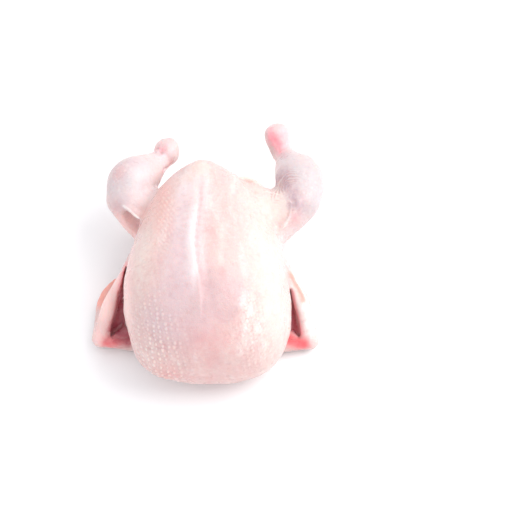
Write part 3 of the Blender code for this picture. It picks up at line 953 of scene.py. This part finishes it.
def vent_lining(points):
    """1 on the wall and floor of the body cavity, 0 outside its mouth."""
    away, beyond = from_vent(points)
    inside = np.clip((1.10 - away) / 0.08, 0, 1) * np.clip((2 * MM - beyond) / (5 * MM), 0, 1)
    return inside * (beyond > -1.5 * VENT_DEPTH)


def vent_relief(points):
    """Lumps of fat round the mouth of the body cavity and folds of membrane on its wall."""
    away, beyond = from_vent(points)
    mouth = bell(beyond + 2 * MM, 14 * MM)
    uneven = 1 + 0.6 * rolling(points, FAT_LUMP_SIZE, 51)
    lumps = FAT_LUMP_HEIGHT * bell(away - 1.22, 0.20) * mouth * uneven
    folds = rolling(points * (1.0, 0.35, 1.0), MEMBRANE_FOLD_SIZE, 52) * vent_lining(points)
    return lumps + MEMBRANE_FOLD_HEIGHT * folds


def joint_face(points, place):
    """The cut face of a joint: a rolled edge of skin round two knobs of gristle."""
    middle = at(place)
    away = np.linalg.norm(points - middle, axis=1) / JOINT_RADIUS
    relief = JOINT_RIM_HEIGHT * bell(away - 1.1, 0.2)
    relief -= JOINT_DISH_DEPTH * np.exp(-((away / 0.9) ** 4))
    for side in (-1, 1):
        knob = middle + (side * KNOB_OFFSET, 0, 0)
        relief += KNOB_HEIGHT * bell(np.linalg.norm(points - knob, axis=1), KNOB_RADIUS)
    return relief


def quill_holes(points):
    """Holes of the tail's quills, in a bow round its tip."""
    relief = np.zeros(len(points))
    for turn in np.linspace(-1, 1, TAIL_QUILLS):
        wanted = at(np.array(TAIL_TIP) + np.array(TAIL_BOW) * (turn, -(turn**2), -(turn**2)))
        seat = points[np.argmin(np.linalg.norm(points - wanted, axis=1))]
        away = np.linalg.norm(points - seat, axis=1)
        relief += QUILL_RIM_HEIGHT * bell(away - 1.7 * QUILL_RADIUS, 0.7 * QUILL_RADIUS)
        relief -= QUILL_DEPTH * bell(away, QUILL_RADIUS)
    return relief


def fewer_triangles(piece, wanted):
    faces = sum(len(face.vertices) - 2 for face in piece.data.polygons)
    thin = piece.modifiers.new("thin", "DECIMATE")
    thin.ratio = min(1.0, wanted / faces)
    return baked(piece, SKIN)


def store_field(mesh, name, values):
    field = mesh.attributes.new(name, "FLOAT", "POINT")
    field.data.foreach_set("value", np.clip(values, 0, 1).astype(np.float32))


def make_bird():
    mesh = rough_form(SKIN_GRID)
    work_skin(Hide(mesh))
    mesh = fewer_triangles(linked(SKIN, mesh), TRIANGLES_KEPT)
    mesh.shade_smooth()
    hide = Hide(mesh)
    bumps = fine_relief(hide.points, follicle=1.0, stroke=0.6, pebble=0.5)
    store_field(mesh, "bump", bumps)
    # painted shade: how deep each point lies in a hollow, for darkening its colour there
    store_field(mesh, "fold", hide.hollowness() / CREASE_SHADE_DEPTH)
    for name, tone in TONES.items():
        shown = spots(hide.points, tone.marks)
        if name == "open flesh":
            shown = np.maximum(shown, LINING_STRENGTH * vent_lining(hide.points))
        store_field(mesh, name, shown)
    return linked(SKIN, mesh)


# ---- materials ----------------------------------------------------------------------------
class Nodes:
    """A shorter way to write a node tree."""

    def __init__(self, tree):
        self.tree = tree

    def add(self, kind, **settings):
        """Adds a shader node with these settings of its own."""
        made = self.tree.nodes.new("ShaderNode" + kind)
        for name, value in settings.items():
            setattr(made, name, value)
        return made

    def feed(self, socket, value):
        if isinstance(value, bpy.types.NodeSocket):
            self.tree.links.new(value, socket)
        elif isinstance(value, tuple) and len(value) == 3 and socket.type == "RGBA":
            socket.default_value = (*value, 1)
        else:
            socket.default_value = value

    def math(self, operation, a, b=0.0, clamp=False):
        made = self.add("Math", operation=operation, use_clamp=clamp)
        self.feed(made.inputs[0], a)
        self.feed(made.inputs[1], b)
        return made.outputs[0]

    def mix(self, share, a, b):
        made = self.add("Mix", data_type="RGBA")
        self.feed(made.inputs["Factor"], share)
        self.feed(made.inputs["A"], a)
        self.feed(made.inputs["B"], b)
        return made.outputs["Result"]

    def ramp(self, value, low, high):
        """Rises softly from 0 where the value is low to 1 where it is high."""
        made = self.add("MapRange", interpolation_type="SMOOTHSTEP")
        for socket, number in zip(made.inputs, (value, low, high)):
            self.feed(socket, number)
        return made.outputs[0]

    def noise(self, place, scale, detail, roughness, distortion=0.0):
        made = self.add("TexNoise")
        self.feed(made.inputs["Vector"], place)
        self.feed(made.inputs["Scale"], scale)
        self.feed(made.inputs["Detail"], detail)
        self.feed(made.inputs["Roughness"], roughness)
        self.feed(made.inputs["Distortion"], distortion)
        return made.outputs["Fac"]

    def cells(self, place, scale, smoothness):
        made = self.add("TexVoronoi", feature="SMOOTH_F1")
        self.feed(made.inputs["Vector"], place)
        self.feed(made.inputs["Scale"], scale)
        self.feed(made.inputs["Smoothness"], smoothness)
        return made.outputs["Distance"]

    def place(self):
        return self.add("TexCoord").outputs["Object"]

    def field(self, name):
        return self.add("Attribute", attribute_name=name).outputs["Fac"]

    def group(self, group, **inputs):
        """Places a node group and feeds its named inputs."""
        made = self.add("Group")
        made.node_tree = group
        for name, value in inputs.items():
            self.feed(made.inputs[name], value)
        return made.outputs


def new_group(name, inputs, outputs):
    """An empty node group with the named sockets, and its writer, inputs and outputs."""
    group = bpy.data.node_groups.new(name, "ShaderNodeTree")
    for socket, kind, value in inputs:
        made = group.interface.new_socket(socket, in_out="INPUT", socket_type="NodeSocket" + kind)
        if value is not None:
            made.default_value = value
    for socket, kind in outputs:
        group.interface.new_socket(socket, in_out="OUTPUT", socket_type="NodeSocket" + kind)
    nodes = Nodes(group)
    entry = group.nodes.new("NodeGroupInput").outputs
    leave = group.nodes.new("NodeGroupOutput").inputs
    return group, nodes, entry, leave


def ragged_edge():
    """Breaks up a soft mask, so that a tone ends in blotches and not in a smooth fade."""
    group, n, entry, leave = new_group("Ragged edge", [
        ("Mask", "Float", 0.0), ("Raggedness", "Float", 0.4), ("Scale", "Float", 180.0),
    ], [("Mask", "Float")])
    blotch = n.noise(n.place(), entry["Scale"], 4.0, 0.6, 0.4)
    swing = n.math("MULTIPLY", n.math("SUBTRACT", blotch, 0.5), entry["Raggedness"])
    edge = n.math("MULTIPLY", n.math("MULTIPLY", entry["Mask"], 4.0),
                  n.math("SUBTRACT", 1.0, entry["Mask"]))
    moved = n.math("ADD", entry["Mask"], n.math("MULTIPLY", n.math("MULTIPLY", swing, 2.0), edge))
    n.feed(leave["Mask"], n.math("MAXIMUM", moved, 0.0, clamp=True))
    return group


def marbling():
    """Uneven depth of colour: broad clouds, small blotches and fine specks of blood."""
    group, n, entry, leave = new_group("Marbling", [
        ("Colour", "Color", None), ("Deep", "Color", None), ("Pale", "Color", None),
        ("Clouds", "Float", 0.3), ("Specks", "Float", 0.2), ("Scale", "Float", 1.0),
    ], [("Colour", "Color")])
    place = n.place()
    stretched = n.add("VectorMath", operation="MULTIPLY")
    n.feed(stretched.inputs[0], place)
    n.feed(stretched.inputs[1], (1.0, 0.3, 0.6))
    cloud = n.noise(stretched.outputs[0], n.math("MULTIPLY", entry["Scale"], 75.0), 4.0, 0.55, 0.6)
    deep = n.math("MULTIPLY", n.ramp(cloud, 0.50, 0.72), entry["Clouds"])
    pale = n.math("MULTIPLY", n.ramp(cloud, 0.48, 0.30), entry["Clouds"])
    colour = n.mix(deep, entry["Colour"], entry["Deep"])
    colour = n.mix(pale, colour, entry["Pale"])
    blotch = n.noise(place, n.math("MULTIPLY", entry["Scale"], 330.0), 3.0, 0.6)
    speck = n.math("MULTIPLY", n.ramp(blotch, 0.55, 0.72), entry["Specks"])
    colour = n.mix(speck, colour, entry["Deep"])
    dot = n.math("MULTIPLY", n.ramp(blotch, 0.45, 0.30), entry["Specks"])
    n.feed(leave["Colour"], n.mix(dot, colour, entry["Pale"]))
    return group


def skin_grain():
    """Fine relief of wet skin or flesh: tight pores over soft ripples."""
    group, n, entry, leave = new_group("Skin grain", [
        ("Pores", "Float", 1.0), ("Ripple", "Float", 0.5), ("Scale", "Float", 1.0),
    ], [("Height", "Float")])
    place = n.place()
    pore = n.cells(place, n.math("MULTIPLY", entry["Scale"], 900.0), 0.6)
    pore = n.math("MULTIPLY", n.ramp(pore, 0.05, 0.55), entry["Pores"])
    ripple = n.noise(place, n.math("MULTIPLY", entry["Scale"], 260.0), 3.0, 0.55, 0.5)
    ripple = n.math("MULTIPLY", ripple, entry["Ripple"])
    n.feed(leave["Height"], n.math("ADD", pore, ripple))
    return group


def moisture():
    """Roughness that varies as a film of water does: wetter in spots, drier between."""
    group, n, entry, leave = new_group("Moisture", [
        ("Wet", "Float", 0.25), ("Dry", "Float", 0.5), ("Scale", "Float", 1.0),
    ], [("Roughness", "Float")])
    film = n.noise(n.place(), n.math("MULTIPLY", entry["Scale"], 120.0), 4.0, 0.6)
    share = n.ramp(film, 0.38, 0.62)
    spread = n.math("SUBTRACT", entry["Dry"], entry["Wet"])
    n.feed(leave["Roughness"], n.math("ADD", entry["Wet"], n.math("MULTIPLY", share, spread)))
    return group


def new_material(name):
    material = bpy.data.materials.new(name)
    material.use_nodes = True
    nodes = Nodes(material.node_tree)
    return material, nodes, material.node_tree.nodes["Principled BSDF"].inputs


def plucked_skin(groups):
    material, n, skin = new_material("Plucked skin")
    colour = n.group(groups["marbling"], Colour=SKIN_COLOUR, Deep=SKIN_DEEP, Pale=SKIN_PALE,
                     Clouds=0.95, Specks=0.5)["Colour"]
    for name, tone in TONES.items():
        mask = n.group(groups["ragged"], Mask=n.field(name), Raggedness=tone.ragged)["Mask"]
        colour = n.mix(mask, colour, tone.colour)
    # the bumps' tops are paler and carry a painted highlight
    colour = n.mix(n.math("MULTIPLY", n.field("bump"), BUMP_PALE_AND_GLINT_STRENGTH), colour, BUMP_PALE_AND_GLINT_COLOUR)
    # painted shade darkens the colour in folds and hollows
    colour = n.mix(n.math("MULTIPLY", n.field("fold"), CREASE_SHADE_STRENGTH), colour, CREASE_SHADE_COLOUR)
    n.feed(skin["Base Color"], colour)
    n.feed(skin["Roughness"], n.group(groups["moisture"], Wet=0.26, Dry=0.46)["Roughness"])
    relief = n.add("Bump")
    relief.inputs["Strength"].default_value = 0.7
    relief.inputs["Distance"].default_value = 0.35 * MM
    n.feed(relief.inputs["Height"], n.group(groups["grain"], Pores=0.5, Ripple=1.0)["Height"])
    n.feed(skin["Normal"], relief.outputs[0])
    n.feed(skin["Subsurface Weight"], 0.25)
    n.feed(skin["Subsurface Radius"], (1.0, 0.38, 0.26))
    n.feed(skin["Subsurface Scale"], 4 * MM)
    n.feed(skin["Specular IOR Level"], 0.35)
    n.feed(skin["Coat Weight"], 0.08)
    n.feed(skin["Coat Roughness"], 0.12)
    return material


# ---- the place ----------------------------------------------------------------------------
FLOOR_SIZE = 6.0
FLOOR_COLOUR = (0.93, 0.93, 0.935)
SKY_COLOUR = (0.965, 0.975, 1.0)
SKY_STRENGTH = 1.10
KEY_PLACE = (0.76, 0.08, 0.94)
KEY_TARGET = (0, 0, 0.05)
KEY_SIZE = 1.0
KEY_POWER = 9.6
KEY_COLOUR = (1.0, 0.985, 0.965)
VIEW_HEIGHT = math.radians(57)
VIEW_DISTANCE = 1.13
VIEW_TARGET = (0.410, -0.125, 0.512)  # in shares of the bird's box
LENS = 85.0
SENSOR_WIDTH = 36.0


def make_floor():
    bpy.ops.mesh.primitive_grid_add(x_subdivisions=8, y_subdivisions=8, size=FLOOR_SIZE)
    floor = bpy.context.object
    floor.name = "floor"
    material = bpy.data.materials.new("White table")
    material.use_nodes = True
    shader = material.node_tree.nodes["Principled BSDF"]
    shader.inputs["Base Color"].default_value = (*FLOOR_COLOUR, 1)
    shader.inputs["Roughness"].default_value = 0.75
    floor.data.materials.append(material)


def make_light():
    """A pale studio and one soft square light that faces the bird."""
    world = bpy.data.worlds.new("Studio")
    world.use_nodes = True
    sky = world.node_tree.nodes["Background"]
    sky.inputs["Color"].default_value = (*SKY_COLOUR, 1)
    sky.inputs["Strength"].default_value = SKY_STRENGTH
    bpy.context.scene.world = world
    light = bpy.data.lights.new("key", "AREA")
    light.size = KEY_SIZE
    light.energy = KEY_POWER
    light.color = KEY_COLOUR
    lamp = linked("key", light)
    lamp.location = KEY_PLACE
    aim = Vector(KEY_TARGET) - Vector(KEY_PLACE)
    lamp.rotation_euler = aim.to_track_quat("-Z", "Y").to_euler()
    bpy.context.scene.view_settings.view_transform = "Standard"


def make_camera():
    camera = bpy.data.cameras.new("camera")
    camera.lens = LENS
    camera.sensor_width = SENSOR_WIDTH
    eye = linked("camera", camera)
    target = Vector(at(VIEW_TARGET))
    back = Vector((0, -math.cos(VIEW_HEIGHT), math.sin(VIEW_HEIGHT)))
    eye.location = target + VIEW_DISTANCE * back
    eye.rotation_euler = (-back).to_track_quat("-Z", "Y").to_euler()
    bpy.context.scene.camera = eye


# ---- putting it together ------------------------------------------------------------------
make_camera()
make_light()
make_floor()

bird = make_bird()
bird.data.materials.clear()
groups = {"ragged": ragged_edge(), "marbling": marbling(), "grain": skin_grain(),
          "moisture": moisture()}
bird.data.materials.append(plucked_skin(groups))
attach(bird, "root")
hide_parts(BIRD)
